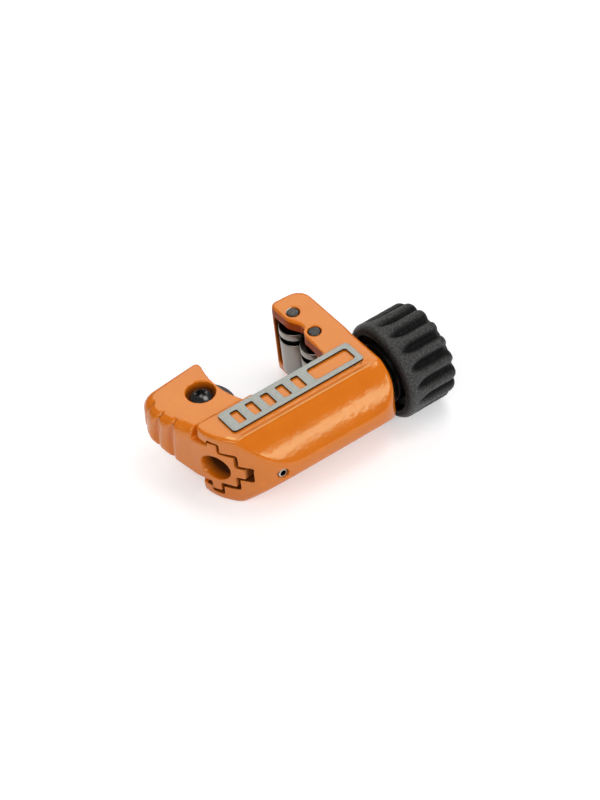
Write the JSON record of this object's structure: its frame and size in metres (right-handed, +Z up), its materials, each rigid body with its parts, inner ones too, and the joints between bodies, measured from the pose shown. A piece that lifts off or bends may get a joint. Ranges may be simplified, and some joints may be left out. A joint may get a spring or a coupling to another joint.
{
  "type": "pipe cutter",
  "caption": "Small screw-feed tube cutter: C-shaped painted body with guide rollers, sliding arm with a cutting wheel, spindle and lobed knob.",
  "frame": {"origin": "on the flat underside of the body, below the spindle and half way along the beam", "axes": "+X along the spindle towards the knob, +Y from the beam towards the jaw opening, +Z up out of the face with the plate"},
  "size_m": [0.0695, 0.0417, 0.0254],
  "materials": {
    "orange_paint": "satin",
    "plate_grey": "satin",
    "bright_steel": "turned",
    "dark_steel": "blackened",
    "black_screw": "gloss",
    "black_plastic": "fine grain",
    "brass": "turned"
  },
  "bodies": {
    "frame": {"body": "orange_paint", "name_plate": "plate_grey", "stop_pin": "bright_steel", "roller_pin_outer": "dark_steel", "roller_pin_inner": "dark_steel", "thrust_washer": "bright_steel"},
    "arm": {"sliding_arm": "orange_paint", "wheel_axle_screw": "black_screw", "wheel_bush": "brass"},
    "wheel": {"cutter_wheel": "dark_steel"},
    "outer_roller": {"roller_outer": "bright_steel"},
    "inner_roller": {"roller_inner": "bright_steel"},
    "feed_screw": {"spindle": "bright_steel", "retaining_ring": "dark_steel", "friction_washer": "black_plastic", "knob": "black_plastic", "knob_insert": "brass", "knob_washer": "bright_steel", "knob_screw": "bright_steel"}
  },
  "joints": [
    {"name": "knob_spin", "type": "hinge", "parent": "frame", "child": "feed_screw", "pos_m": [0.0236, 0, 0.0103], "axis": [-1, 0, 0], "range_deg": [-168.1, 4800.5]},
    {"name": "arm_slide", "type": "slide", "parent": "frame", "child": "arm", "axis": [1, 0, 0], "range_m": [-0.0007, 0.02]},
    {"name": "wheel_spin", "type": "hinge", "parent": "arm", "child": "wheel", "pos_m": [-0.0168, 0.0144, 0.0148], "axis": [0, 0, 1], "continuous": true},
    {"name": "outer_roller_spin", "type": "hinge", "parent": "frame", "child": "outer_roller", "pos_m": [0.0158, 0.02205, 0.0094], "axis": [0, 0, 1], "continuous": true},
    {"name": "inner_roller_spin", "type": "hinge", "parent": "frame", "child": "inner_roller", "pos_m": [0.0158, 0.01315, 0.0094], "axis": [0, 0, 1], "continuous": true}
  ],
  "couplings": [
    {"joint": "knob_spin", "follows": "arm_slide", "rad_per_m": 4188.8}
  ]
}
